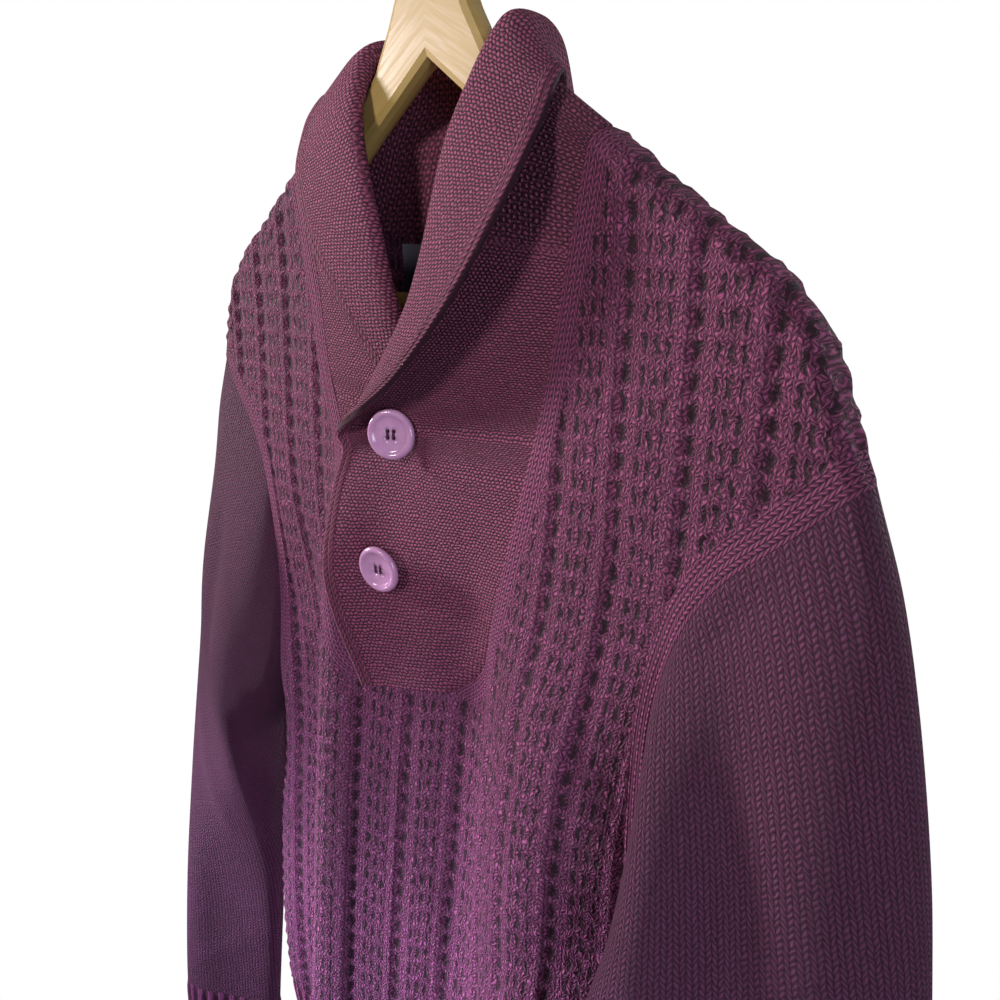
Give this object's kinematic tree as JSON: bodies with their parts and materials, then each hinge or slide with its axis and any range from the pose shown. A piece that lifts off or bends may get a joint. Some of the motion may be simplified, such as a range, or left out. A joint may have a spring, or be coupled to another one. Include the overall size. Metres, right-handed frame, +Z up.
{
  "type": "shawl collar sweater on a wooden hanger",
  "caption": "Plum heavy-knit shawl collar pullover with a textured body, plain sleeves and ribbed cuffs and hem, hanging on a pale wooden hanger with a wire hook",
  "frame": {"origin": "seat inside the top of the hanger's hook, where it hangs on a rail", "axes": "+X is the wearer's left, -Y is the front and +Z is up"},
  "size_m": [0.5953, 0.141, 0.9096],
  "materials": {
    "textured_knit": "matte knit",
    "plain_knit": "matte knit",
    "ribbing": "matte knit",
    "collar_knit": "matte knit",
    "button_gloss": "polished",
    "label_cloth": "woven",
    "pale_wood": "satin lacquer",
    "bright_steel": "polished"
  },
  "bodies": {
    "root": {"front": "textured_knit", "back": "textured_knit", "hem_front": "ribbing", "hem_back": "ribbing", "sleeve_left": "plain_knit", "sleeve_right": "plain_knit", "cuff_left": "ribbing", "cuff_right": "ribbing", "collar_left": "collar_knit", "collar_right": "collar_knit", "button_1": "button_gloss", "button_2": "button_gloss", "neck_label": "label_cloth", "hanger_board": "pale_wood", "hanger_bar": "pale_wood", "hanger_hook": "bright_steel"}
  },
  "joints": []
}
